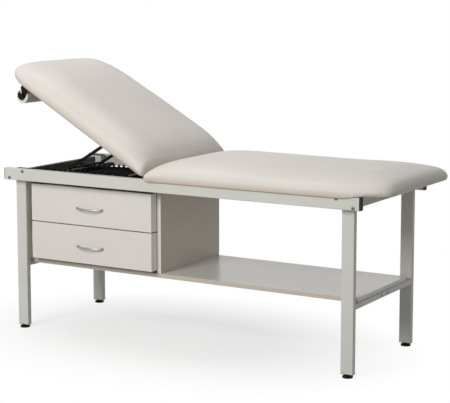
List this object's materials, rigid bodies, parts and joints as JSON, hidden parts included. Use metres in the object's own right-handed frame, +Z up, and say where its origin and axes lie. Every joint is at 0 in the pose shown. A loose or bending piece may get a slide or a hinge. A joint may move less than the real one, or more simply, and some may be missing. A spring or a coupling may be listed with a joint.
{
  "type": "treatment table",
  "caption": "Padded treatment table: steel tube frame, full shelf, drawer cabinet and a backrest lifted on a prop over toothed racks, with a paper roll holder under its head end.",
  "frame": {"origin": "middle of the whole table's footprint at rest, on the floor", "axes": "+X from the head end to the foot end, -Y towards the drawer side, +Z up"},
  "size_m": [1.8368, 0.687, 1.1704],
  "materials": {
    "frame_paint": "light silver-grey powder coat, fine satin",
    "black_plastic": "moulded black plastic",
    "zinc_steel": "bright zinc plating",
    "dark_paint": "dark grey satin paint",
    "black_paint": "black satin paint",
    "dust_board": "dark stained board",
    "laminate": "pale grey laminate on particle board",
    "carcass": "pale grey laminate, matt",
    "plywood": "birch plywood, raw edge",
    "drawer_box": "melamine-faced board",
    "upholstery": "smooth warm grey vinyl over foam",
    "chrome": "polished chrome",
    "paper": "matt white tissue paper",
    "cardboard": "spiral-wound card"
  },
  "bodies": {
    "table": {"front_rail": "frame_paint", "rear_rail": "frame_paint", "rail_end_caps": "black_plastic", "leg_top_caps": "black_plastic", "rail_bolts": "zinc_steel", "rail_nuts": "zinc_steel", "leveler_inserts": "black_plastic", "lower_bar_head": "frame_paint", "lower_bar_foot": "frame_paint", "upper_bar_head": "dark_paint", "upper_bar_foot": "frame_paint", "lower_bar_screws": "zinc_steel", "shelf": "laminate", "cabinet_panel_head": "carcass", "cabinet_panel_foot": "carcass", "cabinet_back": "carcass", "cabinet_top": "dust_board", "slide_spacers": "drawer_box", "slide_channels": "zinc_steel", "hinge_bar": "frame_paint", "hinge_leaves_seat": "zinc_steel", "hinge_pins": "zinc_steel", "rack_bars": "black_paint", "toothed_racks": "black_paint", "seat_deck": "plywood", "seat_pad": "upholstery", "leg_front_head": "frame_paint", "leg_front_foot": "frame_paint", "leg_rear_head": "frame_paint", "leg_rear_foot": "frame_paint"},
    "backrest": {"backrest_deck": "plywood", "backrest_pad": "upholstery", "hinge_leaves_back": "zinc_steel", "prop_pivot_ears": "black_paint", "prop_pivot_pins": "zinc_steel", "roll_hanger_front": "black_paint", "roll_hanger_rear": "black_paint"},
    "prop": {"prop_struts": "black_paint", "prop_foot_rod": "black_paint"},
    "paper": {"roll_rod": "black_plastic", "paper_core": "cardboard", "paper_roll": "paper"},
    "drawer_lower": {"drawer_lower_front": "laminate", "drawer_lower_sides": "drawer_box", "drawer_lower_back": "drawer_box", "drawer_lower_bottom": "drawer_box", "drawer_lower_pull": "chrome", "drawer_lower_runners": "zinc_steel"},
    "drawer_upper": {"drawer_upper_front": "laminate", "drawer_upper_sides": "drawer_box", "drawer_upper_back": "drawer_box", "drawer_upper_bottom": "drawer_box", "drawer_upper_pull": "chrome", "drawer_upper_runners": "zinc_steel"},
    "foot_front_head": {"leveler_front_head": "black_plastic"},
    "foot_front_foot": {"leveler_front_foot": "black_plastic"},
    "foot_rear_head": {"leveler_rear_head": "black_plastic"},
    "foot_rear_foot": {"leveler_rear_foot": "black_plastic"}
  },
  "joints": [
    {"name": "backrest_tilt", "type": "hinge", "parent": "table", "child": "backrest", "pos_m": [-0.19004, 0, 0.714], "axis": [0, 1, 0], "range_deg": [-30, 35]},
    {"name": "prop_swing", "type": "hinge", "parent": "backrest", "child": "prop", "pos_m": [-0.45564, 0, 0.85984], "axis": [0, 1, 0], "range_deg": [-70.5, 60.5]},
    {"name": "paper_roll_spin", "type": "hinge", "parent": "backrest", "child": "paper", "pos_m": [-0.86106, 0, 1.02578], "axis": [0, 1, 0], "continuous": true},
    {"name": "drawer_lower_slide", "type": "slide", "parent": "table", "child": "drawer_lower", "axis": [0, -1, 0], "range_m": [0, 0.33]},
    {"name": "drawer_upper_slide", "type": "slide", "parent": "table", "child": "drawer_upper", "axis": [0, -1, 0], "range_m": [0, 0.33]},
    {"name": "foot_front_head_screw", "type": "slide", "parent": "table", "child": "foot_front_head", "axis": [0, 0, -1], "range_m": [0, 0.012]},
    {"name": "foot_front_foot_screw", "type": "slide", "parent": "table", "child": "foot_front_foot", "axis": [0, 0, -1], "range_m": [0, 0.012]},
    {"name": "foot_rear_head_screw", "type": "slide", "parent": "table", "child": "foot_rear_head", "axis": [0, 0, -1], "range_m": [0, 0.012]},
    {"name": "foot_rear_foot_screw", "type": "slide", "parent": "table", "child": "foot_rear_foot", "axis": [0, 0, -1], "range_m": [0, 0.012]}
  ],
  "couplings": [
    {"joint": "prop_swing", "follows": "backrest_tilt", "ratio": -2}
  ]
}
